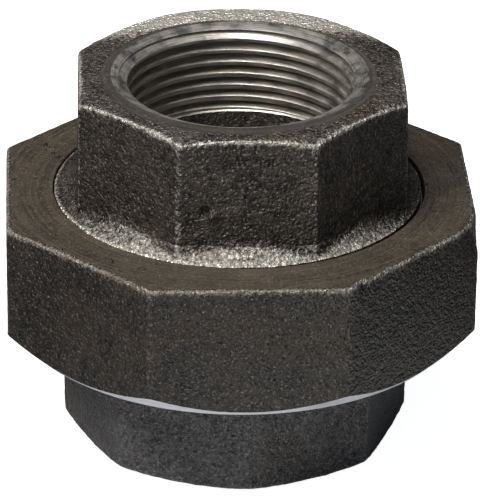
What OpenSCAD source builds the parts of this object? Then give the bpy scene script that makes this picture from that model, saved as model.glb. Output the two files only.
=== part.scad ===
// Malleable iron pipe union: two octagonal pipe ends drawn together by an
// octagonal nut, with a brass seat ring between them.
// Millimetres, +Z up along the pipe axis, origin at the centre of the lower end face.

/* [Overall] */
// Length from end face to end face
total_len = 65; // [64:0.5:66]

/* [Pipe threads, 1-1/4 inch NPT] */
// Thread pitch, 11.5 turns to the inch
pipe_pitch = 2.2087; // [2.1:0.01:2.3]
// Diameter of the tapped bore over the thread crests
pipe_crest_d = 38.1; // [37.8:0.1:38.4]
// Depth of the tapped bore from the end face
pipe_depth = 17.6; // [17.2:0.1:18]
// Diameter of the countersink at the end face
mouth_d = 44.5; // [44:0.1:45]
// Turns of the thread groove from the end face to where it fades out
pipe_turns = 7.2; // [6:0.1:7.2]
// Flats around one turn of the groove
pipe_facets = 48; // [36:12:60]

/* [Pipe ends] */
// Width across the flats of the swivel end at its face
swivel_af_end = 54.4; // [54:0.1:55]
// Width across the flats of the swivel end at its root
swivel_af_root = 55.4; // [55:0.1:56]
// Turn of the swivel end about the pipe axis
swivel_clocking = -0.6; // [-22:0.1:22]
// Width across the flats of the threaded end at its face
lower_af_end = 54.2; // [53.6:0.1:54.6]
// Width across the flats of the threaded end under the nut
lower_af_root = 55.2; // [55:0.1:55.8]
// Turn of the threaded end about the pipe axis
lower_clocking = 23.7; // [0:0.1:45]
// Diameter of the cast waterway between the two threads
waterway_d = 36.4; // [36:0.1:37]

/* [Union nut] */
// Width across the flats of the nut
nut_af = 79.4; // [79:0.1:82]
// Height of the nut's lower face above the origin
nut_low = 20.6; // [20.4:0.1:21]
// Height of the nut's top face above the origin
nut_top = 44; // [43.8:0.1:44.4]
// Diameter of the hole that the swivel end's collar stands in
nut_hole_d = 63.5; // [63.3:0.1:64]
// Thickness of the lip that pulls on the collar's flange
lip_t = 5.5; // [5:0.1:5.6]

/* [Union thread] */
// Pitch of the coarse thread between the nut and the threaded end
union_pitch = 2.54; // [2.3:0.01:2.7]
// Radius over the crests of the male thread
male_crest_r = 35.2; // [35.1:0.05:35.25]
// Radial depth of the union thread
union_depth = 1.25; // [1.15:0.01:1.27]
// Radial gap between the crests of one thread and the roots of the other
union_gap = 0.3; // [0.25:0.01:0.35]
// Flats around one turn of the thread
union_facets = 48; // [36:12:60]

/* [Seat] */
// Outer diameter of the brass seat ring
ring_d = 48.4; // [48:0.1:48.6]
// Radial clearance of the seat ring in its pocket
ring_play = 0.05; // [0.03:0.01:0.08]
// Gap left between the ring's ball face and the conical seat
seat_gap = 0.1; // [0.08:0.01:0.2]

/* [Hidden] */
$fn = 96;
iron = "#3a3633";
dark_iron = "#2c2c30";
brass = "#b08d3c";
eps = 0.5;
to_corner = 1 / cos(22.5);

// Pipe end faces: a shallow cone takes the corners off each octagon.
end_flat_r = 27;
end_cone_slope = 0.44;

// Pipe thread: a 60 degree groove whose depth follows the 1 in 16 taper.
pipe_crest_r = pipe_crest_d / 2;
mouth_r = mouth_d / 2;
waterway_r = waterway_d / 2;
groove_depth = 0.42 * pipe_pitch / tan(30);
groove_taper = 1 / 32;
groove_inner_r = pipe_crest_r - 0.2;
groove_start = 0.41;
groove_fade = 0.5;

// Union thread and the spaces around it.
male_root_r = male_crest_r - union_depth;
female_crest_r = male_root_r + union_gap - 0.05;
female_root_r = male_crest_r + union_gap;
crest_half = 0.225;
male_low = nut_low + 4;
male_high = male_low + 10;
female_low = nut_low + 2.4;
female_high = female_low + 11;
relief_r = female_root_r + 0.1;
lip_low = nut_top - lip_t;
core_r = male_root_r - 1.15;
neck_r = male_root_r - 0.35;
core_top = male_high + 0.6;

// Collar, flange and nose of the swivel end.
collar_r = nut_hole_d / 2 - 0.45;
collar_top = nut_top - 0.25;
flange_r = female_crest_r - 0.3;
flange_low = core_top + 0.2;
flange_high = lip_low - 0.05;
nose_r = core_r - 4.4;
cavity_r = nose_r + 0.6;

// Conical seat at 45 degrees: its height is its radius plus seat_rise.
seat_rise = pipe_depth + 2.8 - waterway_r;
seat_touch_r = 22.8;
ball_z = 2 * seat_touch_r + seat_rise;
ball_r = seat_touch_r * sqrt(2) - seat_gap;
ring_r = ring_d / 2;
ring_bore_r = waterway_r + 0.4;
ring_low = 24;
ring_high = 31.6;
nose_low_r = ring_r + 0.85;
nose_low = nose_low_r + seat_rise + 0.5;

// Nut: the lower end is turned to a cone, which leaves a scalloped edge on the flats.
nut_cone_r = 39;
nut_cone_slope = 1.1;

// An octagon with its first flat facing -Y, tapering from af_low to af_high.
module octagon(af_low, af_high, h) {
    rotate(22.5) {
        if (af_low == af_high) {
            cylinder(h = h, r = af_low / 2 * to_corner, $fn = 8);
        } else {
            cylinder(h = h, r1 = af_low / 2 * to_corner, r2 = af_high / 2 * to_corner, $fn = 8);
        }
    }
}

// The solid of revolution that trims an octagon's corners at z = 0, growing with slope.
module corner_cone(flat_r, slope, h) {
    wide_r = 50;
    rotate_extrude() {
        polygon([[0, 0], [flat_r, 0], [wide_r, slope * (wide_r - flat_r)], [wide_r, h], [0, h]]);
    }
}

// A pipe bore that opens downwards at z = 0: the countersink and the thread's crests.
module pipe_bore() {
    translate([0, 0, -eps]) {
        cylinder(h = pipe_depth + eps, r = pipe_crest_r);
    }
    rotate_extrude() {
        polygon([
            [0, -eps], [mouth_r + eps, -eps],
            [pipe_crest_r, mouth_r - pipe_crest_r], [0, mouth_r - pipe_crest_r]
        ]);
    }
}

// The bore's right-hand thread groove: a 60 degree triangle swept up a helix. It gets
// shallower the deeper it lies, and fades out over its last half turn.
module pipe_groove() {
    steps = round(pipe_turns * pipe_facets);
    function depth_at(i) = groove_start + pipe_pitch * i / pipe_facets;
    function fade_at(i) = min(1, (steps - i) / pipe_facets / groove_fade);
    function root_at(i) =
        pipe_crest_r - 0.1 + (groove_depth + 0.1 - depth_at(i) * groove_taper) * fade_at(i);
    function station(i) =
        let (a = 360 * i / pipe_facets, half = (root_at(i) - groove_inner_r) * tan(30))
        [for (p = [[groove_inner_r, -half], [root_at(i), 0], [groove_inner_r, half]])
            [p[0] * cos(a), p[0] * sin(a), depth_at(i) + p[1]]];
    function side(i, j) =
        let (k = 3 * i + j, m = 3 * i + (j + 1) % 3)
        [[k, m + 3, k + 3], [k, m, m + 3]];
    polyhedron(
        points = [for (i = [0 : steps]) each station(i)],
        faces = concat(
            [[0, 2, 1], [3 * steps, 3 * steps + 1, 3 * steps + 2]],
            [for (i = [0 : steps - 1], j = [0 : 2]) each side(i, j)]
        )
    );
}

// Radius of a screw thread's surface at angle a and height z: flat roots and
// crests joined by 60 degree flanks. The crest is centred on z = pitch * a / 360.
function thread_r(a, z, crest_r, depth, flat_half) =
    let (u = (z - union_pitch * a / 360) / union_pitch)
    let (away = abs(u - round(u)) * union_pitch)
    crest_r - min(depth, max(0, (away - flat_half) / tan(30)));

// Heights of the thread's edges up one column: four to each pitch.
function edge_z(k, a, base, run, flat_half) =
    let (turn = floor(k / 4))
    let (part = [-flat_half - run, -flat_half, flat_half, flat_half + run][k % 4])
    base + (turn + a / 360) * union_pitch + part;

// A threaded sleeve from z = low to z = high. Its plain wall at back_r is inside
// the part that it belongs to. depth is negative for a thread cut into a bore.
module thread_sleeve(low, high, crest_r, depth, flat_half, back_r) {
    n = union_facets;
    run = abs(depth) * tan(30);
    base = (floor(low / union_pitch) - 2) * union_pitch;
    rows = 4 * (ceil((high - base) / union_pitch) + 2);
    last = rows - 1;
    function col_z(j, k) =
        min(high, max(low, edge_z(k, 360 * j / n, base, run, flat_half)));
    function col_r(j, k) = depth > 0
        ? thread_r(360 * j / n, col_z(j, k), crest_r, depth, flat_half)
        : 2 * crest_r - thread_r(360 * j / n, col_z(j, k), crest_r, -depth, flat_half);
    function at(j, k) = j == n ? min(k + 4, last) : j * rows + k;
    function row_z(j, k) = j == n ? col_z(0, min(k + 4, last)) : col_z(j, k);
    function low_back(j) = n * rows + j % n;
    function high_back(j) = n * rows + n + j % n;
    face_points = [
        for (j = [0 : n - 1], k = [0 : last])
            [col_r(j, k) * cos(360 * j / n), col_r(j, k) * sin(360 * j / n), col_z(j, k)]
    ];
    back_points = [
        for (z = [low, high], j = [0 : n - 1])
            [back_r * cos(360 * j / n), back_r * sin(360 * j / n), z]
    ];
    thread_faces = [
        for (j = [0 : n - 1], k = [0 : last - 1]) each [
            if (row_z(j + 1, k) != row_z(j + 1, k + 1)) [at(j, k), at(j + 1, k + 1), at(j + 1, k)],
            if (row_z(j, k) != row_z(j, k + 1)) [at(j, k), at(j, k + 1), at(j + 1, k + 1)]
        ]
    ];
    closing_faces = [
        for (j = [0 : n - 1]) each [
            [at(j, 0), at(j + 1, 0), low_back(j + 1)],
            [at(j, 0), low_back(j + 1), low_back(j)],
            [at(j, last), high_back(j + 1), at(j + 1, last)],
            [at(j, last), high_back(j), high_back(j + 1)],
            [low_back(j), low_back(j + 1), high_back(j + 1)],
            [low_back(j), high_back(j + 1), high_back(j)]
        ]
    ];
    all_faces = concat(thread_faces, closing_faces);
    polyhedron(
        points = concat(face_points, back_points),
        faces = depth > 0 ? all_faces : [for (f = all_faces) [f[2], f[1], f[0]]]
    );
}

// Lower pipe end: octagonal hub, neck, male union thread and conical seat.
module threaded_end() {
    color(dark_iron) rotate(lower_clocking) difference() {
        difference() {
            threaded_end_blank();
            pipe_bore();
            translate([0, 0, pipe_depth - eps]) {
                cylinder(h = 10, r = waterway_r);
            }
            rotate_extrude() {
                polygon([
                    [0, waterway_r + seat_rise], [waterway_r, waterway_r + seat_rise],
                    [cavity_r, cavity_r + seat_rise], [cavity_r, core_top + eps], [0, core_top + eps]
                ]);
            }
        }
        pipe_groove();
    }
}

// The same end before it is bored.
module threaded_end_blank() {
    intersection() {
        octagon(lower_af_end, lower_af_root, nut_low - 1.6);
        corner_cone(end_flat_r, end_cone_slope, total_len);
    }
    rotate_extrude() {
        polygon([
            [0, nut_low - 4], [end_flat_r, nut_low - 4], [neck_r, nut_low + 3],
            [neck_r, male_low + 0.2], [core_r, male_low + 0.2],
            [core_r, core_top - 0.5], [core_r - 0.5, core_top], [0, core_top]
        ]);
    }
    rotate(-lower_clocking) {
        thread_sleeve(male_low, male_high, male_crest_r, union_depth, crest_half, core_r - 0.6);
    }
}

// Brass ring with a ball face that closes on the threaded end's cone.
module seat_ring() {
    color(brass) difference() {
        intersection() {
            translate([0, 0, ring_low]) {
                cylinder(h = ring_high - ring_low, r = ring_r);
            }
            translate([0, 0, ball_z]) {
                sphere(r = ball_r);
            }
        }
        translate([0, 0, ring_low - eps]) {
            cylinder(h = ring_high - ring_low + 2 * eps, r = ring_bore_r);
        }
    }
}

// Upper pipe end: octagonal hub, collar, flange under the nut's lip and nose.
module swivel_end() {
    color(iron) rotate(swivel_clocking) difference() {
        difference() {
            swivel_end_blank();
            translate([0, 0, total_len]) {
                rotate([180, 0, 0]) {
                    pipe_bore();
                }
            }
            translate([0, 0, nose_low - eps]) {
                cylinder(h = total_len - pipe_depth - nose_low + 2 * eps, r = waterway_r);
            }
            translate([0, 0, nose_low - eps]) {
                cylinder(h = ring_high + ring_play - nose_low + eps, r = ring_r + ring_play);
            }
        }
        translate([0, 0, total_len]) {
            rotate([180, 0, 0]) {
                pipe_groove();
            }
        }
    }
}

// The same end before it is bored.
module swivel_end_blank() {
    fillet_h = 2.6;
    intersection() {
        translate([0, 0, collar_top - 1]) {
            octagon(swivel_af_root, swivel_af_end, total_len - collar_top + 1);
        }
        translate([0, 0, total_len]) {
            mirror([0, 0, 1]) {
                corner_cone(end_flat_r, end_cone_slope, total_len);
            }
        }
    }
    rotate_extrude() {
        polygon([
            [0, nose_low], [nose_low_r, nose_low], [nose_r, nose_r + nose_low - nose_low_r],
            [nose_r, flange_low], [flange_r, flange_low], [flange_r, flange_high],
            [collar_r, flange_high], [collar_r, collar_top], [collar_r - 1, collar_top],
            [swivel_af_root / 2, collar_top + fillet_h], [0, collar_top + fillet_h]
        ]);
    }
}

// Octagonal nut: lip at the top, relief, female union thread and turned lower end.
module union_nut() {
    pocket_r = female_root_r + 0.6;
    color(iron) union() {
        difference() {
            intersection() {
                translate([0, 0, nut_low]) {
                    octagon(nut_af, nut_af, nut_top - nut_low);
                }
                translate([0, 0, nut_low]) {
                    corner_cone(nut_cone_r, nut_cone_slope, nut_top - nut_low + eps);
                }
            }
            translate([0, 0, nut_low - eps]) {
                cylinder(h = nut_top - nut_low + 2 * eps, r = nut_hole_d / 2);
            }
            rotate_extrude() {
                polygon([
                    [0, nut_low - eps], [pocket_r + 0.6 + eps, nut_low - eps], [pocket_r, nut_low + 0.6],
                    [pocket_r, female_high - 0.3], [relief_r, female_high - 0.3],
                    [relief_r, lip_low], [0, lip_low]
                ]);
            }
        }
        // Half a turn puts this thread's crests in the grooves of the male one.
        rotate(180) {
            thread_sleeve(
                female_low, female_high, female_crest_r, -(union_depth + 0.05), crest_half, pocket_r + 0.6
            );
        }
    }
}

threaded_end();
seat_ring();
swivel_end();
union_nut();
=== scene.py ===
import math
import bpy
import numpy as np
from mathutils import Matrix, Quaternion, Vector


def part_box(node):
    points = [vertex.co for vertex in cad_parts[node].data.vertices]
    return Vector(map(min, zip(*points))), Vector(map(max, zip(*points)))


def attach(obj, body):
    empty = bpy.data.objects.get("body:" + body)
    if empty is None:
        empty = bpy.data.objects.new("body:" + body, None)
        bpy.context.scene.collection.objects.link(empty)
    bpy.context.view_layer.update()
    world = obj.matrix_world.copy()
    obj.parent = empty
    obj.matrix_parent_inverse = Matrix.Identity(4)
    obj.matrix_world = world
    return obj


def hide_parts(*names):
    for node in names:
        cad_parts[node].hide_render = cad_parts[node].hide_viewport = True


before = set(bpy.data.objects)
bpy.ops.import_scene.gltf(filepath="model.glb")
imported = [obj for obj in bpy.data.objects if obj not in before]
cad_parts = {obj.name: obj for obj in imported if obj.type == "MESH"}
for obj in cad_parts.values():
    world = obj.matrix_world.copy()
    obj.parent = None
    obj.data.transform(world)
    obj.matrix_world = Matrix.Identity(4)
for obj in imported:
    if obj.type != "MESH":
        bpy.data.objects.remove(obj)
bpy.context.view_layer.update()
mm = 0.001
stepsPerTurn = 96  # around every turned shape and coil
octagonHalfAngle = 22.5
threadFlank = math.tan(math.radians(30))  # how much a 60 degree thread widens for its depth
castFinish = 0  # material slots on each iron piece
cutFinish = 1
facedFinish = 2
conedFinish = 3
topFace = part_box("swivel_end")[1].z / mm
nutBottomCorner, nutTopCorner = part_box("union_nut")
nutLow = nutBottomCorner.z / mm
nutTop = nutTopCorner.z / mm
nutFlats = (nutTopCorner.x - nutBottomCorner.x) / mm
print("frame loaded, nut between", round(nutLow, 2), "and", round(nutTop, 2), "mm")


# Selecting, shaping and combining, as by hand
def pick(obj):
    bpy.ops.object.select_all(action="DESELECT")
    obj.select_set(True)
    bpy.context.view_layer.objects.active = obj


def enterEdit(obj, test=None):
    pick(obj)
    bpy.ops.object.mode_set(mode="EDIT")
    bpy.ops.mesh.select_mode(type="VERT")
    bpy.ops.mesh.select_all(action="DESELECT" if test else "SELECT")
    if test:
        bpy.ops.object.mode_set(mode="OBJECT")
        for vertex in obj.data.vertices:
            vertex.select = test(vertex.co / mm)
        bpy.ops.object.mode_set(mode="EDIT")


def leaveEdit():
    bpy.ops.object.mode_set(mode="OBJECT")


def settle(obj, name):
    pick(obj)
    bpy.ops.object.transform_apply(location=True, rotation=True, scale=True)
    obj.name = name
    obj.data.name = name
    return obj


def modify(obj, kind, **values):
    pick(obj)
    modifier = obj.modifiers.new(kind.title(), kind)
    for key, value in values.items():
        setattr(modifier, key, value)
    bpy.ops.object.modifier_apply(modifier=modifier.name)


def combine(obj, other, operation):
    modify(obj, "BOOLEAN", object=other, operation=operation, solver="MANIFOLD", material_mode="INDEX")
    bpy.data.objects.remove(other)


def giveSlots(obj):
    if not obj.data.materials:
        for _ in range(conedFinish + 1):
            obj.data.materials.append(None)


def paint(obj, slot):
    for face in obj.data.polygons:
        face.material_index = slot


# A solid of revolution: a disc extruded and scaled along its outline of (radius, height)
def turned(name, outline, slot=cutFinish):
    radius, height = outline[0]
    bpy.ops.object.select_all(action="DESELECT")
    bpy.ops.mesh.primitive_circle_add(
        vertices=stepsPerTurn, radius=radius * mm, fill_type="NGON", location=(0, 0, height * mm)
    )
    obj = settle(bpy.context.object, name)
    enterEdit(obj)
    for nextRadius, nextHeight in outline[1:]:
        rise = (nextHeight - height) * mm
        ratio = nextRadius / radius
        bpy.ops.mesh.extrude_region_move(TRANSFORM_OT_translate={"value": (0, 0, rise)})
        bpy.ops.transform.resize(value=(ratio, ratio, 1), center_override=(0, 0, 0))
        radius, height = nextRadius, nextHeight
    bpy.ops.mesh.select_all(action="SELECT")
    bpy.ops.mesh.normals_make_consistent(inside=False)
    leaveEdit()
    giveSlots(obj)
    paint(obj, slot)
    return obj


# An eight-sided bar with drafted flats, the first one turned away from -Y by turn
def eightSided(name, flatsLow, flatsHigh, low, high, turn):
    toCorner = 1 / math.cos(math.radians(octagonHalfAngle))
    bpy.ops.object.select_all(action="DESELECT")
    bpy.ops.mesh.primitive_cylinder_add(
        vertices=8, radius=flatsLow / 2 * toCorner * mm, depth=(high - low) * mm,
        location=(0, 0, (low + high) / 2 * mm), rotation=(0, 0, math.radians(octagonHalfAngle + turn)),
    )
    obj = settle(bpy.context.object, name)
    middle = (low + high) / 2
    enterEdit(obj, lambda at: at.z > middle)
    ratio = flatsHigh / flatsLow
    bpy.ops.transform.resize(value=(ratio, ratio, 1), center_override=(0, 0, high * mm))
    leaveEdit()
    giveSlots(obj)
    return obj


# A coil with a closed outline of (radius, height) points, right-handed, capped at both ends
def coil(name, outline, pitch, turns, startHeight):
    bpy.ops.object.select_all(action="DESELECT")
    bpy.ops.mesh.primitive_circle_add(vertices=len(outline), radius=mm, fill_type="NOTHING")
    obj = settle(bpy.context.object, name)
    for vertex, (radius, height) in zip(obj.data.vertices, outline):
        vertex.co = (radius * mm, 0, (height + startHeight) * mm)
    steps = round(turns * stepsPerTurn)
    modify(
        obj, "SCREW", axis="Z", angle=2 * math.pi * steps / stepsPerTurn, iterations=1,
        screw_offset=pitch * steps / stepsPerTurn * mm, steps=steps, render_steps=steps,
    )
    enterEdit(obj)
    bpy.ops.mesh.select_all(action="DESELECT")
    bpy.ops.mesh.select_non_manifold()
    bpy.ops.mesh.fill_holes(sides=0)
    bpy.ops.mesh.select_all(action="SELECT")
    bpy.ops.mesh.quads_convert_to_tris()
    bpy.ops.mesh.normals_make_consistent(inside=False)
    leaveEdit()
    giveSlots(obj)
    paint(obj, cutFinish)
    return obj


# The sand-cast skin
skin = {
    "edgeRadius": 0.6,
    "edgeSteps": 3,
    "edgeAngle": 20,  # edges sharper than this are rounded
    "rounding": 4,  # smoothing passes after the remesh
    "wearReach": 10,  # passes over which an edge counts as standing proud
    "wearHeight": 0.35,  # how far proud counts as fully worn
    "level": 0.6,  # above a half, the waves go inwards more than outwards
    "lumps": (6.0, 0.12),  # size and depth of the broad waves
    "pocks": (1.5, 0.13),
    "sand": (0.75, 0.08),
}


def cloud(name, size):
    texture = bpy.data.textures.new(name, "CLOUDS")
    texture.noise_scale = size * mm
    texture.noise_depth = 2
    texture.noise_basis = "IMPROVED_PERLIN"
    return texture


skinClouds = {key: cloud(key, skin[key][0]) for key in ("lumps", "pocks", "sand")}


# How far each point stands proud of its surroundings, kept as an attribute for the materials; painted
# highlights are added to the same attribute later
def markEdges(obj, passes):
    mesh = obj.data
    count = len(mesh.vertices)
    places = np.empty(count * 3)
    mesh.vertices.foreach_get("co", places)
    places = places.reshape(count, 3)
    normals = np.empty(count * 3)
    mesh.vertices.foreach_get("normal", normals)
    normals = normals.reshape(count, 3)
    ends = np.empty(len(mesh.edges) * 2, dtype=np.int64)
    mesh.edges.foreach_get("vertices", ends)
    a, b = ends.reshape(-1, 2).T
    neighbours = np.bincount(np.concatenate([a, b]), minlength=count)
    around = places.copy()
    for _ in range(passes):
        total = [
            np.bincount(np.concatenate([a, b]), np.concatenate([around[b, k], around[a, k]]), count)
            for k in range(3)
        ]
        around = np.stack(total, axis=1) / neighbours[:, None]
    proud = ((places - around) * normals).sum(axis=1)
    wearAndHighlight = np.clip(proud / (skin["wearHeight"] * mm), -1, 1)
    layer = mesh.attributes.new("wearAndHighlight", "FLOAT", "POINT")
    layer.data.foreach_set("value", wearAndHighlight.astype(np.float32))


# Knocks and casting flaws: points within reach of a place go in, or out where depth is negative
def knock(obj, place, reach, depth):
    centre = Vector(place) * mm
    inward = Vector((-place[0], -place[1], 0)).normalized()
    for vertex in obj.data.vertices:
        share = (vertex.co - centre).length / (reach * mm)
        if share < 1:
            vertex.co += inward * depth * mm * (1 - share * share) ** 2


# Painted highlight: adds to the edge-wear attribute, so that the bare-metal colour and its metal sheen show
# where test says
def addPaintedHighlight(obj, amount, test):
    for vertex, entry in zip(obj.data.vertices, obj.data.attributes["wearAndHighlight"].data):
        entry.value += amount * test(vertex.co / mm)


def castSkin(obj, voxel, knocks=()):
    modify(
        obj, "BEVEL", width=skin["edgeRadius"] * mm, segments=skin["edgeSteps"], limit_method="ANGLE",
        angle_limit=math.radians(skin["edgeAngle"]),
    )
    modify(obj, "REMESH", mode="VOXEL", voxel_size=voxel * mm)
    modify(obj, "SMOOTH", factor=0.5, iterations=skin["rounding"])
    markEdges(obj, skin["wearReach"])
    for flaw in knocks:
        knock(obj, *flaw)
    for key, texture in skinClouds.items():
        depth = skin[key][1] * mm
        modify(
            obj, "DISPLACE", texture=texture, texture_coords="LOCAL", strength=depth, mid_level=skin["level"]
        )
    paint(obj, castFinish)
    return obj


# Pipe thread, cut the same way in both ends
pipeThread = {
    "pitch": 2.2087,
    "crestRadius": 19.05,
    "mouthRadius": 22.25,
    "mouthDepth": 1.0,
    "depth": 16.1,
    "turns": 7.5,
    "grooveDepth": 1.62,
    "taper": 1 / 32,
    "start": -0.39,  # depth of the groove where it begins, over +X
    "fadeTurns": 0.6,  # the groove runs out over the last part of a turn
    "overlap": 0.2,  # how far the cutter stands inside the crests
    "waterway": 18.2,
    "castWall": 18.7,  # the cored hole behind the thread, left as cast
}


# The groove that a tap leaves, rising along +Z from the face at z = 0
def tapGroove(name):
    t = pipeThread
    inner = t["crestRadius"] - t["overlap"]
    obj = coil(name, [(inner, -1), (inner + 2, 0), (inner, 1)], t["pitch"], t["turns"], t["start"])
    steps = round(t["turns"] * stepsPerTurn)
    vertices = obj.data.vertices
    for i in range(steps + 1):
        height = t["start"] + t["pitch"] * i / stepsPerTurn
        fade = min(1, (steps - i) / stepsPerTurn / t["fadeTurns"])
        root = t["crestRadius"] - 0.1 + (t["grooveDepth"] + 0.1 - height * t["taper"]) * fade
        half = (root - inner) * threadFlank
        angle = 2 * math.pi * i / stepsPerTurn
        for j, (radius, offset) in enumerate([(inner, -half), (root, 0), (inner, half)]):
            vertices[3 * i + j].co = Vector(
                (radius * math.cos(angle), radius * math.sin(angle), height + offset)
            ) * mm
    return obj


# Countersink, thread crests and waterway, also rising from z = 0
def pipeBore(name, top):
    t = pipeThread
    crest = t["crestRadius"]
    mouth = t["mouthRadius"]
    return turned(name, [
        (mouth + 1, -0.5), (mouth, 0), (crest + 0.7, t["mouthDepth"]), (crest, t["mouthDepth"] + 0.4),
        (crest, t["depth"] - 0.5), (t["waterway"], t["depth"]), (t["waterway"], top),
    ])


def cutFromFace(obj, cutter, face, upwards):
    if not upwards:
        cutter.rotation_euler = (math.pi, 0, 0)
    cutter.location = (0, 0, face * mm)
    settle(cutter, cutter.name)
    combine(obj, cutter, "DIFFERENCE")


def cutPipeEnd(obj, face, upwards, top):
    cutFromFace(obj, pipeBore("bore", top), face, upwards)
    cutFromFace(obj, tapGroove("groove"), face, upwards)


# Swivel end: hub, collar, flange and nose
swivel = {
    "flatsFace": 55.0,
    "flatsRoot": 55.6,
    "turn": -0.6,
    "shift": (0.25, 0.3),  # the casting stands a little off the bore's axis
    "voxel": 0.36,
    "collarRadius": 31.3,
    "collarTop": 43.75,
    "filletHeight": 2.6,
    "collarPlace": (-0.2, 0.14),  # and its collar stands a little off the other way
    "filletPaintedHighlight": 0.62,  # painted highlight in the bare-metal colour on the fillet, at the front
    "filletRadius": 27.9,
    "backFacePaintedHighlight": 0.85,  # and a painted highlight on the end face, at the back
    "faceAllowance": 0.06,  # keeps the rough end face within the length
    "noseRadius": 28.4,
    "noseLow": 27.75,
    "noseTaper": 31.1,
    "flangeRadius": 33.9,
    "flangeLow": 35.4,
    "flangeTop": 38.45,
    "pocketRadius": 24.25,
    "pocketTop": 31.65,
    "boreDepth": 35,  # from the end face
    "spotRadius": 23.6,  # the facing cut round the mouth, set a little off centre
    "spotPlace": (-0.35, -1.25),
    "spotDepth": 0.18,
    "knocks": [((-6.9, -27.3, 52.2), 1.3, 1.1), ((-5.5, -27.3, 51.6), 1.3, -1.1)],
}


# What is left of an end face once its corners are turned away, as (radius, drop from the face)
crownOutline = [(33, 30), (33, 2.9), (30.5, 1.55), (29.4, 0.95), (28.3, 0.42), (27.4, 0.12), (25.5, 0)]


# side is 1 for the top face and -1 for the bottom one
def hubCrown(name, face, side):
    return turned(name, [(radius, face - side * drop) for radius, drop in crownOutline], castFinish)


def castCore(obj, low, high):
    radius = pipeThread["castWall"]
    combine(obj, turned("core", [(radius, low), (radius, high)]), "DIFFERENCE")


# How much of the painted highlight on the fillet reaches a point, from 0 to 1
def onFillet(at):
    s = swivel
    if at.z >= s["collarTop"] + 2.3 or math.hypot(at.x, at.y) <= s["filletRadius"]:
        return 0
    return max(0, min(1, (-2 - at.y) / 24))


# How much of the painted highlight on the back of the end face reaches a point, from 0 to 1
def onBackOfFace(at):
    return max(0, min(1, (at.y - 12) / 8)) if at.z > topFace - 1 else 0


def makeSwivel():
    s = swivel
    low = s["collarTop"] - 2.5
    hub = eightSided("swivelEnd", s["flatsRoot"], s["flatsFace"], low, topFace + 1, s["turn"])
    hub.location = (s["shift"][0] * mm, s["shift"][1] * mm, 0)
    settle(hub, "swivelEnd")
    combine(hub, hubCrown("crown", topFace - s["faceAllowance"], 1), "INTERSECT")
    rim = s["collarRadius"]
    root = s["collarTop"]
    collar = turned("collar", [
        (rim + 0.3, low + 0.2), (rim + 0.3, root), (rim - 0.5, root + 0.15), (rim - 1.9, root + 0.95),
        (rim - 2.9, root + 1.75), (s["flatsRoot"] / 2, root + s["filletHeight"]),
    ], castFinish)
    combine(hub, collar, "UNION")
    castCore(hub, low - 1, topFace + 2)
    castSkin(hub, s["voxel"], s["knocks"])
    # Painted highlights in the bare-metal colour: on the front of the fillet and on the back of the end face
    addPaintedHighlight(hub, s["filletPaintedHighlight"], onFillet)
    addPaintedHighlight(hub, s["backFacePaintedHighlight"], onBackOfFace)
    clear = 36  # past everything above the collar
    lathe = turned("lathe", [
        (rim, low + 0.6), (rim, root + 0.5), (clear, root + 0.55), (clear, topFace + 2),
    ], castFinish)
    lathe.location = (s["collarPlace"][0] * mm, s["collarPlace"][1] * mm, 0)
    combine(hub, settle(lathe, "lathe"), "INTERSECT")
    noseRadius = s["noseRadius"]
    flange = s["flangeRadius"]
    flangeLow = s["flangeLow"]
    flangeTop = s["flangeTop"]
    pocket = s["pocketRadius"]
    combine(hub, turned("nose", [
        (pocket, 27.85), (25, s["noseLow"]), (noseRadius, s["noseTaper"]), (noseRadius, flangeLow),
        (33.6, flangeLow), (flange, 35.7), (flange, 38.15), (33.6, flangeTop), (rim, flangeTop),
        (rim, low + 1),
    ]), "UNION")
    waterway = pipeThread["waterway"]
    combine(hub, turned("pocket", [
        (24.6, 27.4), (pocket, 28.1), (pocket, s["pocketTop"]), (waterway, s["pocketTop"]), (waterway, 40),
    ]), "DIFFERENCE")
    edge = s["spotRadius"]
    spot = turned("spot", [(edge - 0.3, -s["spotDepth"]), (edge, 0.3), (edge, 3)], facedFinish)
    spot.location = (s["spotPlace"][0] * mm, s["spotPlace"][1] * mm, topFace * mm)
    combine(hub, settle(spot, "spot"), "DIFFERENCE")
    cutPipeEnd(hub, topFace, False, s["boreDepth"])
    return hub


# Union nut
nut = {
    "voxel": 0.42,
    "inset": 0.05,  # keeps the rough flats within the width
    "faceDepth": 0.05,  # what the facing tool takes off the top
    "holeRadius": 31.75,
    "lip": 5.5,
    "coneRadius": 39.0,
    "coneSlope": 0.86,
    "coneHeight": 0.35,  # where the cone begins, above the lower face
    "outside": 49,  # past the corners
    "pocketRadius": 36.1,
    "reliefRadius": 35.6,
    "crestRadius": 34.2,
    "rootRadius": 35.5,
    "threadLow": 2.4,
    "threadHigh": 13.4,
    "firstTurn": 9,  # pitches above the origin
    "threadTurns": 5,
    "knocks": [
        ((18.9, -37.4, 43.8), 2.0, 0.8), ((39.9, -16.6, 43.8), 6.0, 1.2), ((-17.5, -39.3, 25.5), 1.2, 0.3),
    ],
}
unionThread = {"pitch": 2.54, "crestHalf": 0.225, "rootHalf": 0.294}


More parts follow.
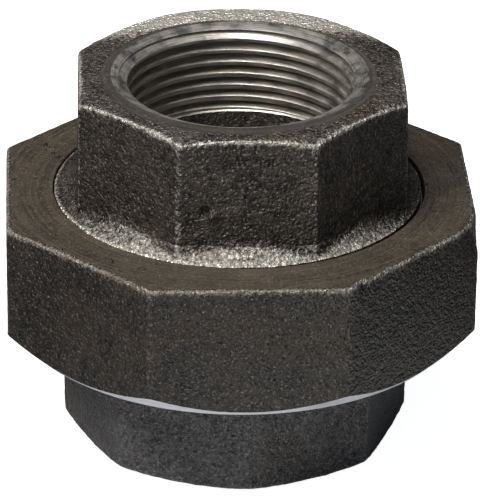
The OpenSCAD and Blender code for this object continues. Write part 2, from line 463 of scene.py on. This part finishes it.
def makeNut():
    n = nut
    flats = nutFlats - 2 * n["inset"]
    body = eightSided("unionNut", flats, flats, nutLow - 0.8, nutTop + 0.02, 0)
    castSkin(body, n["voxel"], n["knocks"])
    cone = n["coneRadius"]
    coneLow = nutLow + n["coneHeight"]
    outside = n["outside"]
    coneHigh = coneLow + (outside - cone - 0.1) * n["coneSlope"]
    faceHeight = nutTop - n["faceDepth"]
    outer = turned("outer", [
        (cone - 0.15, nutLow), (cone + 0.1, coneLow), (outside, coneHigh), (outside, faceHeight),
    ], conedFinish)
    combine(body, outer, "INTERSECT")
    for face in body.data.polygons:
        if face.center.z > (faceHeight - 0.001) * mm:
            face.material_index = facedFinish
    pocket = n["pocketRadius"]
    threadLow = nutLow + n["threadLow"]
    threadHigh = nutLow + n["threadHigh"]
    crest = n["crestRadius"]
    root = n["rootRadius"]
    lipLow = nutTop - n["lip"]
    hole = turned("hole", [
        (pocket + 1.2, nutLow - 0.6), (pocket, nutLow + 0.6), (pocket, threadLow), (crest, threadLow + 0.9),
        (crest, threadHigh), (n["reliefRadius"], threadHigh + 0.1), (n["reliefRadius"], lipLow),
        (n["holeRadius"], lipLow), (n["holeRadius"], nutTop + 1),
    ], facedFinish)
    combine(body, hole, "DIFFERENCE")
    inner = crest - 0.2
    narrow = unionThread["rootHalf"]
    wide = narrow + (root - inner) * threadFlank
    first = unionThread["pitch"] * n["firstTurn"]
    groove = coil("groove", [
        (inner, -wide), (root, -narrow), (root, narrow), (inner, wide),
    ], unionThread["pitch"], n["threadTurns"], first)
    combine(body, groove, "DIFFERENCE")
    return body


# Threaded end: lower hub, neck, male thread and conical seat
lower = {
    "flatsFace": 55.0,
    "flatsRoot": 55.6,
    "turn": 23.7,
    "shift": (-0.25, -0.25),
    "voxel": 0.38,
    "neckRadius": 33.6,
    "rootRadius": 33.95,
    "crestRadius": 35.2,
    "coreTop": 35.2,
    "hubTop": 19.0,
    "threadLow": 24.8,
    "firstTurn": 10,
    "threadTurns": 3.1,
    "faceAllowance": 0.1,
    "boreDepth": 20,
    "seatRise": 2.2,
    "cavityRadius": 29.0,
    "knocks": [((-6.0, -28.0, 9.5), 1.2, 0.25), ((-12.0, -25.5, 12.0), 0.9, 0.2)],
}


def makeLower():
    w = lower
    hub = eightSided("threadedEnd", w["flatsFace"], w["flatsRoot"], -1, w["hubTop"], w["turn"])
    hub.location = (w["shift"][0] * mm, w["shift"][1] * mm, 0)
    settle(hub, "threadedEnd")
    combine(hub, hubCrown("crown", w["faceAllowance"], -1), "INTERSECT")
    neck = w["neckRadius"]
    combine(hub, turned("neck", [(27, 16.6), (neck, 23.4), (neck, 24.4), (32, 24.4)], castFinish), "UNION")
    castCore(hub, -2, 30)
    castSkin(hub, w["voxel"], w["knocks"])
    root = w["rootRadius"]
    crest = w["crestRadius"]
    coreTop = w["coreTop"]
    combine(hub, turned("spigot", [
        (31, 23.2), (root - 0.6, 23.9), (root, w["threadLow"]), (root, coreTop - 0.6), (root - 0.6, coreTop),
    ]), "UNION")
    inner = root - 0.35
    narrow = unionThread["crestHalf"]
    wide = narrow + (crest - inner) * threadFlank
    first = unionThread["pitch"] * w["firstTurn"]
    ridge = coil("ridge", [
        (inner, -wide), (crest, -narrow), (crest, narrow), (inner, wide),
    ], unionThread["pitch"], w["threadTurns"], first)
    combine(hub, ridge, "UNION")
    rise = w["seatRise"]
    waterway = pipeThread["waterway"]
    cavity = w["cavityRadius"]
    combine(hub, turned("seat", [
        (waterway - 0.2, 19), (waterway, waterway + rise), (cavity, cavity + rise), (cavity, coreTop - 0.4),
        (cavity + 0.8, coreTop + 0.4),
    ]), "DIFFERENCE")
    cutPipeEnd(hub, 0, True, w["boreDepth"])
    return hub


# Seat ring, with a ball-shaped lower face
ring = {
    "bore": 18.6,
    "outer": 24.2,
    "top": 31.6,
    "edge": 0.3,
    "ballHeight": 47.8,
    "ballRadius": 32.144,
    "arcSteps": 8,
}


def makeRing():
    r = ring
    outline = []
    for i in range(r["arcSteps"] + 1):
        radius = r["bore"] + (r["outer"] - r["bore"]) * i / r["arcSteps"]
        outline.append((radius, r["ballHeight"] - math.sqrt(r["ballRadius"] ** 2 - radius ** 2)))
    outline += [(r["outer"], r["top"] - r["edge"]), (r["outer"] - r["edge"], r["top"])]
    obj = turned("seatRing", outline)
    combine(obj, turned("bore", [(r["bore"], 20), (r["bore"], 33)]), "DIFFERENCE")
    return obj


# Node groups that the finishes share
def addNode(tree, kind, inputs=None, **settings):
    node = tree.nodes.new(kind)
    for key, value in settings.items():
        setattr(node, key, value)
    for key, value in (inputs or {}).items():
        if isinstance(value, bpy.types.NodeSocket):
            tree.links.new(value, node.inputs[key])
        else:
            node.inputs[key].default_value = value
    return node


def maths(tree, operation, first, second=0.5, third=0.5):
    node = addNode(tree, "ShaderNodeMath", {0: first, 1: second, 2: third}, operation=operation)
    return node.outputs[0]


def between(tree, value, low, high, outLow=0.0, outHigh=1.0):
    inputs = {0: value, 1: low, 2: high, 3: outLow, 4: outHigh}
    return addNode(tree, "ShaderNodeMapRange", inputs, clamp=True).outputs[0]


def blendColours(tree, share, first, second):
    return addNode(tree, "ShaderNodeMix", {0: share, 6: first, 7: second}, data_type="RGBA").outputs[2]


def startGroup(name, inputs, outputs):
    tree = bpy.data.node_groups.new(name, "ShaderNodeTree")
    for socket in inputs:
        tree.interface.new_socket(socket, in_out="INPUT", socket_type="NodeSocketFloat")
    for socket in outputs:
        tree.interface.new_socket(socket, in_out="OUTPUT", socket_type="NodeSocketFloat")
    return tree, tree.nodes.new("NodeGroupInput"), tree.nodes.new("NodeGroupOutput")


def noise(tree, place, scale, detail=2.0, roughness=0.5):
    inputs = {"Vector": place, "Scale": scale, "Detail": detail, "Roughness": roughness}
    return addNode(tree, "ShaderNodeTexNoise", inputs).outputs["Fac"]


# Sizes of the sand marks as shares of the grain, and of the broad marks on their own
grainParts = {
    "pebbles": 0.9,
    "coarse": 0.45,
    "specks": 1.15,
    "broad": 160.0,
    "stains": 95.0,
    "pebbleDepth": -0.3,
    "coarseDepth": 1.3,
    "toneSpread": 0.8,
}


# Sand marks, their tone, bright specks and oily stains
def grainGroup():
    tree, given, out = startGroup("castGrain", ["Grain"], ["Height", "Tone", "Speck", "Stain"])
    place = tree.nodes.new("ShaderNodeTexCoord").outputs["Object"]
    grain = given.outputs["Grain"]
    parts = grainParts
    fine = noise(tree, place, grain, 1.5, 0.6)
    pebbleScale = maths(tree, "MULTIPLY", grain, parts["pebbles"])
    voronoi = addNode(tree, "ShaderNodeTexVoronoi", {"Vector": place, "Scale": pebbleScale})
    pebbles = voronoi.outputs["Distance"]
    coarse = noise(tree, place, maths(tree, "MULTIPLY", grain, parts["coarse"]), 2.0, 0.6)
    broad = noise(tree, place, parts["broad"], 3.0, 0.6)
    height = maths(tree, "MULTIPLY_ADD", pebbles, parts["pebbleDepth"], fine)
    height = maths(tree, "MULTIPLY_ADD", coarse, parts["coarseDepth"], height)
    tree.links.new(height, out.inputs["Height"])
    tone = maths(tree, "MULTIPLY_ADD", maths(tree, "SUBTRACT", broad, 0.5), parts["toneSpread"], coarse)
    tone = maths(tree, "MULTIPLY_ADD", maths(tree, "SUBTRACT", fine, 0.5), parts["toneSpread"], tone)
    tree.links.new(between(tree, tone, 0.25, 0.8), out.inputs["Tone"])
    specks = noise(tree, place, maths(tree, "MULTIPLY", grain, parts["specks"]), 1.0)
    tree.links.new(between(tree, specks, 0.58, 0.72), out.inputs["Speck"])
    stain = noise(tree, place, parts["stains"], 4.0, 0.7)
    tree.links.new(between(tree, stain, 0.5, 0.68), out.inputs["Stain"])
    return tree


# Bare metal where the surface stands proud, and painted highlights where they were added to the same
# attribute, broken up by a fine noise
def wearGroup():
    tree, given, out = startGroup("edgeWear", ["Proud", "Start", "End", "Breakup"], ["Worn"])
    place = tree.nodes.new("ShaderNodeTexCoord").outputs["Object"]
    patchy = maths(tree, "SUBTRACT", noise(tree, place, 1700.0, 3.0, 0.7), 0.5)
    proud = maths(tree, "MULTIPLY_ADD", patchy, given.outputs["Breakup"], given.outputs["Proud"])
    worn = between(tree, proud, given.outputs["Start"], given.outputs["End"])
    tree.links.new(worn, out.inputs["Worn"])
    return tree


# Rings and smears left by a lathe, and by oil on it
def turningGroup():
    tree, given, out = startGroup("turningMarks", ["Fineness"], ["Height", "Streak", "Smear"])
    place = tree.nodes.new("ShaderNodeTexCoord").outputs["Object"]
    parts = addNode(tree, "ShaderNodeSeparateXYZ", {0: place}).outputs
    squared = maths(tree, "MULTIPLY_ADD", parts[0], parts[0], maths(tree, "POWER", parts[1], 2.0))
    radius = maths(tree, "SQRT", squared)
    angle = maths(tree, "MULTIPLY", maths(tree, "ARCTAN2", parts[1], parts[0]), 0.0006)
    around = addNode(tree, "ShaderNodeCombineXYZ", {0: radius, 1: parts[2], 2: angle}).outputs[0]
    rings = noise(tree, around, given.outputs["Fineness"], 3.0, 0.7)
    tree.links.new(rings, out.inputs["Height"])
    tree.links.new(between(tree, rings, 0.35, 0.7), out.inputs["Streak"])
    tree.links.new(between(tree, noise(tree, place, 260.0, 4.0, 0.7), 0.4, 0.7), out.inputs["Smear"])
    return tree


groups = {"grain": grainGroup(), "wearAndHighlight": wearGroup(), "turning": turningGroup()}


def useGroup(tree, key, inputs):
    return addNode(tree, "ShaderNodeGroup", inputs, node_tree=groups[key]).outputs


def startMaterial(name, **sockets):
    material = bpy.data.materials.new(name)
    material.use_nodes = True
    shader = material.node_tree.nodes["Principled BSDF"]
    for key, value in sockets.items():
        shader.inputs[key.replace("_", " ")].default_value = value
    return material, material.node_tree, shader


def addBump(tree, shader, depth, height):
    bump = addNode(tree, "ShaderNodeBump", {"Strength": 1.0, "Distance": depth, "Height": height})
    tree.links.new(bump.outputs[0], shader.inputs["Normal"])


# What each cast finish is made of, with bump depths in metres
# The worn colour is bare metal on proud edges, and on the swivel it is also the painted highlights
upperCast = {
    "dark": (0.006, 0.0055, 0.005, 1), "light": (0.066, 0.055, 0.046, 1), "stain": (0.058, 0.041, 0.020, 1),
    "speck": (0.30, 0.275, 0.24, 1), "worn": (0.86, 0.83, 0.76, 1), "roughness": 0.36, "grain": 1900.0,
    "bump": 0.00052, "stainShare": 0.45, "wornShare": 0.95, "wornFrom": 0.28, "speckShare": 0.52, "ior": 1.5,
}
nutCast = {
    "dark": (0.003, 0.003, 0.003, 1), "light": (0.044, 0.038, 0.032, 1), "stain": (0.050, 0.031, 0.016, 1),
    "speck": (0.26, 0.24, 0.22, 1), "worn": (0.50, 0.46, 0.40, 1), "roughness": 0.38, "grain": 2000.0,
    "bump": 0.00056, "stainShare": 0.5, "wornShare": 0.62, "wornFrom": 0.34, "speckShare": 0.55, "ior": 1.45,
}
lowerCast = {
    "dark": (0.012, 0.013, 0.015, 1), "light": (0.122, 0.121, 0.122, 1), "stain": (0.09, 0.07, 0.055, 1),
    "speck": (0.24, 0.245, 0.26, 1), "worn": (0.36, 0.36, 0.37, 1), "roughness": 0.38, "grain": 2100.0,
    "bump": 0.00058, "stainShare": 0.5, "wornShare": 0.7, "wornFrom": 0.34, "speckShare": 0.85, "ior": 1.5,
}
wornEnd = 1.1
wornBreakup = 1.9


def castIron(name, look):
    material, tree, shader = startMaterial(name, IOR=look["ior"])
    grain = useGroup(tree, "grain", {"Grain": look["grain"]})
    # The attribute holds edge wear plus painted highlights, so worn is partly real wear and partly painted
    # highlight
    proud = addNode(tree, "ShaderNodeAttribute", attribute_name="wearAndHighlight").outputs["Fac"]
    edge = {"Proud": proud, "Start": look["wornFrom"], "End": wornEnd, "Breakup": wornBreakup}
    worn = maths(tree, "MULTIPLY", useGroup(tree, "wearAndHighlight", edge)["Worn"], look["wornShare"])
    colour = blendColours(tree, grain["Tone"], look["dark"], look["light"])
    stained = maths(tree, "MULTIPLY", grain["Stain"], look["stainShare"])
    colour = blendColours(tree, stained, colour, look["stain"])
    specked = maths(tree, "MULTIPLY", grain["Speck"], look["speckShare"])
    colour = blendColours(tree, specked, colour, look["speck"])
    colour = blendColours(tree, worn, colour, look["worn"])
    tree.links.new(colour, shader.inputs["Base Color"])
    metal = maths(tree, "MULTIPLY_ADD", grain["Speck"], 0.3, maths(tree, "MULTIPLY", worn, 0.7))
    tree.links.new(maths(tree, "MINIMUM", metal, 1.0), shader.inputs["Metallic"])
    rough = between(tree, grain["Tone"], 0.0, 1.0, look["roughness"] - 0.08, look["roughness"] + 0.1)
    tree.links.new(rough, shader.inputs["Roughness"])
    addBump(tree, shader, look["bump"], grain["Height"])
    return material


# What each machined finish is made of
threadCut = {
    "dark": (0.34, 0.33, 0.31, 1), "light": (0.88, 0.86, 0.81, 1), "smear": (0.24, 0.20, 0.15, 1),
    "roughness": 0.3, "fineness": 5200.0, "bump": 0.00003, "metal": 1.0, "smearShare": 0.5, "specks": 0.1,
}
nutFace = {
    "dark": (0.034, 0.028, 0.022, 1), "light": (0.098, 0.081, 0.060, 1), "smear": (0.085, 0.062, 0.038, 1),
    "roughness": 0.38, "fineness": 2600.0, "bump": 0.00005, "metal": 0.3, "smearShare": 0.5, "specks": 0.4,
}
hubFace = {
    "dark": (0.05, 0.047, 0.042, 1), "light": (0.13, 0.12, 0.105, 1), "smear": (0.06, 0.045, 0.025, 1),
    "roughness": 0.38, "fineness": 2600.0, "bump": 0.00005, "metal": 0.5, "smearShare": 0.5, "specks": 0.5,
}
# Cone under the nut: turned metal that really reflects, but its bluish near-white colour is a painted
# reflection of the pale floor
nutChamfer = {
    "dark": (0.72, 0.75, 0.80, 1), "light": (0.95, 0.97, 1.0, 1), "smear": (0.40, 0.43, 0.48, 1),
    "roughness": 0.42, "fineness": 3800.0, "bump": 0.00003, "metal": 1.0, "smearShare": 0.4, "specks": 0.2,
}
seatBrass = {
    "dark": (0.42, 0.27, 0.09, 1), "light": (0.72, 0.53, 0.22, 1), "smear": (0.25, 0.16, 0.06, 1),
    "roughness": 0.28, "fineness": 4200.0, "bump": 0.00002, "metal": 1.0, "smearShare": 0.4, "specks": 0.1,
}
turnedGrain = 3000.0
turnedSpeck = (0.30, 0.28, 0.25, 1)


def turnedMetal(name, look):
    material, tree, shader = startMaterial(name)
    marks = useGroup(tree, "turning", {"Fineness": look["fineness"]})
    colour = blendColours(tree, marks["Streak"], look["dark"], look["light"])
    smeared = maths(tree, "MULTIPLY", marks["Smear"], look["smearShare"])
    colour = blendColours(tree, smeared, colour, look["smear"])
    grain = useGroup(tree, "grain", {"Grain": turnedGrain})
    specked = maths(tree, "MULTIPLY", grain["Speck"], look["specks"])
    colour = blendColours(tree, specked, colour, turnedSpeck)
    tree.links.new(colour, shader.inputs["Base Color"])
    metal = between(tree, marks["Smear"], 0.0, 1.0, look["metal"], look["metal"] * 0.6)
    tree.links.new(metal, shader.inputs["Metallic"])
    rough = between(tree, marks["Smear"], 0.0, 1.0, look["roughness"], look["roughness"] + 0.18)
    tree.links.new(rough, shader.inputs["Roughness"])
    addBump(tree, shader, look["bump"], marks["Height"])
    return material


finishes = {
    "upperCast": castIron("blackCastIron", upperCast),
    "nutCast": castIron("brownBlackCastIron", nutCast),
    "lowerCast": castIron("blueBlackCastIron", lowerCast),
    "threads": turnedMetal("cutThread", threadCut),
    "hubFace": turnedMetal("spotFace", hubFace),
    "nutFace": turnedMetal("oiledFace", nutFace),
    "chamfer": turnedMetal("turnedChamfer", nutChamfer),
    "brass": turnedMetal("seatBrass", seatBrass),
}
print("materials ready")


# Make each piece, finish it and put it in the frame
smoothAngle = 38
pieceList = [
    (makeSwivel, "swivel_end", "swivel_end_iron", ("upperCast", "threads", "hubFace", "threads")),
    (makeNut, "union_nut", "nut_iron", ("nutCast", "threads", "nutFace", "chamfer")),
    (makeLower, "threaded_end", "threaded_end_iron", ("lowerCast", "threads", "threads", "threads")),
    (makeRing, "seat_ring", "seat_brass", ("brass", "brass", "brass", "brass")),
]
for make, node, slot, looks in pieceList:
    piece = make()
    for index, look in enumerate(looks):
        piece.data.materials[index] = finishes[look]
    pick(piece)
    bpy.ops.object.shade_smooth_by_angle(angle=math.radians(smoothAngle))
    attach(piece, node)
    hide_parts(node)
    piece.data.calc_loop_triangles()
    low = round(piece.bound_box[0][2] / mm, 2)
    high = round(piece.bound_box[6][2] / mm, 2)
    print(piece.name, len(piece.data.loop_triangles), "triangles, from", low, "to", high, "mm up")


# Studio: pale floor, soft lights and camera
studio = {
    "floorSize": 9.0,
    "sheet": (0.88, 0.91, 0.95, 1),  # the strip that the object stands on
    "besideSheet": (0.16, 0.16, 0.17, 1),
    "sheetCentre": 0.014,
    "sheetEdge": (0.036, 0.062),  # on either side of that, along X
    "floorGlow": 0.95,  # what the camera sees on top of the strip
    "world": (0.80, 0.87, 1.0, 1),
    "worldStrength": 0.04,
}
softLights = [
    # name, place, aim, width, height, watts, colour
    ("overheadSoftbox", (-0.07, -0.06, 0.60), (0, 0, 0.03), 0.28, 0.28, 2.85, (1.0, 0.985, 0.96)),
    ("leftSoftbox", (-0.50, -0.42, 0.80), (0, 0, 0.03), 0.25, 0.25, 5.7, (1.0, 0.93, 0.86)),
    ("frontFill", (-0.34, -0.88, 0.16), (0, 0, 0.02), 0.4, 0.2, 0.8, (0.95, 0.97, 1.0)),
]


def makeFloor():
    bpy.ops.object.select_all(action="DESELECT")
    bpy.ops.mesh.primitive_circle_add(vertices=64, radius=studio["floorSize"], fill_type="NGON")
    floor = settle(bpy.context.object, "paleFloor")
    material, tree, shader = startMaterial("paleFloor", Roughness=0.9)
    place = tree.nodes.new("ShaderNodeTexCoord").outputs["Object"]
    across = addNode(tree, "ShaderNodeSeparateXYZ", {0: place}).outputs[0]
    aside = maths(tree, "ABSOLUTE", maths(tree, "SUBTRACT", across, studio["sheetCentre"]))
    share = between(tree, aside, *studio["sheetEdge"])
    colour = blendColours(tree, share, studio["sheet"], studio["besideSheet"])
    tree.links.new(colour, shader.inputs["Base Color"])
    seen = tree.nodes.new("ShaderNodeLightPath").outputs["Is Camera Ray"]
    shader.inputs["Emission Color"].default_value = (1, 1, 1, 1)
    tree.links.new(maths(tree, "MULTIPLY", seen, studio["floorGlow"]), shader.inputs["Emission Strength"])
    floor.data.materials.append(material)


def makeLight(name, place, aim, width, height, watts, colour):
    data = bpy.data.lights.new(name, "AREA")
    data.shape = "RECTANGLE"
    data.size = width
    data.size_y = height
    data.energy = watts
    data.color = colour
    light = bpy.data.objects.new(name, data)
    light.location = place
    light.rotation_mode = "QUATERNION"
    light.rotation_quaternion = (Vector(aim) - Vector(place)).to_track_quat("-Z", "Y")
    bpy.context.scene.collection.objects.link(light)


viewpoint = {
    "azimuth": -2.95,
    "elevation": 26.55,
    "roll": 0.65,
    "distance": 754.6,
    "aimHeight": 31.94,
    "aimRight": 0.32,
    "lens": 329.5,
}


def makeCamera():
    v = viewpoint
    azimuth = math.radians(v["azimuth"])
    elevation = math.radians(v["elevation"])
    right = Vector((math.cos(azimuth), math.sin(azimuth), 0))
    across = math.cos(elevation)
    back = Vector((math.sin(azimuth) * across, -math.cos(azimuth) * across, math.sin(elevation)))
    data = bpy.data.cameras.new("camera")
    data.sensor_width = 36
    data.sensor_fit = "HORIZONTAL"
    data.lens = v["lens"]
    data.clip_start = 0.01
    data.clip_end = 20
    camera = bpy.data.objects.new("camera", data)
    aim = right * v["aimRight"] + Vector((0, 0, v["aimHeight"]))
    camera.location = (aim + back * v["distance"]) * mm
    camera.rotation_mode = "QUATERNION"
    tilt = Quaternion((0, 0, 1), math.radians(v["roll"]))
    camera.rotation_quaternion = (-back).to_track_quat("-Z", "Y") @ tilt
    bpy.context.scene.collection.objects.link(camera)
    bpy.context.scene.camera = camera


makeFloor()
for light in softLights:
    makeLight(*light)
makeCamera()
world = bpy.data.worlds.new("studio")
world.use_nodes = True
world.node_tree.nodes["Background"].inputs[0].default_value = studio["world"]
world.node_tree.nodes["Background"].inputs[1].default_value = studio["worldStrength"]
bpy.context.scene.world = world
bpy.context.scene.view_settings.view_transform = "Standard"
print("studio ready")
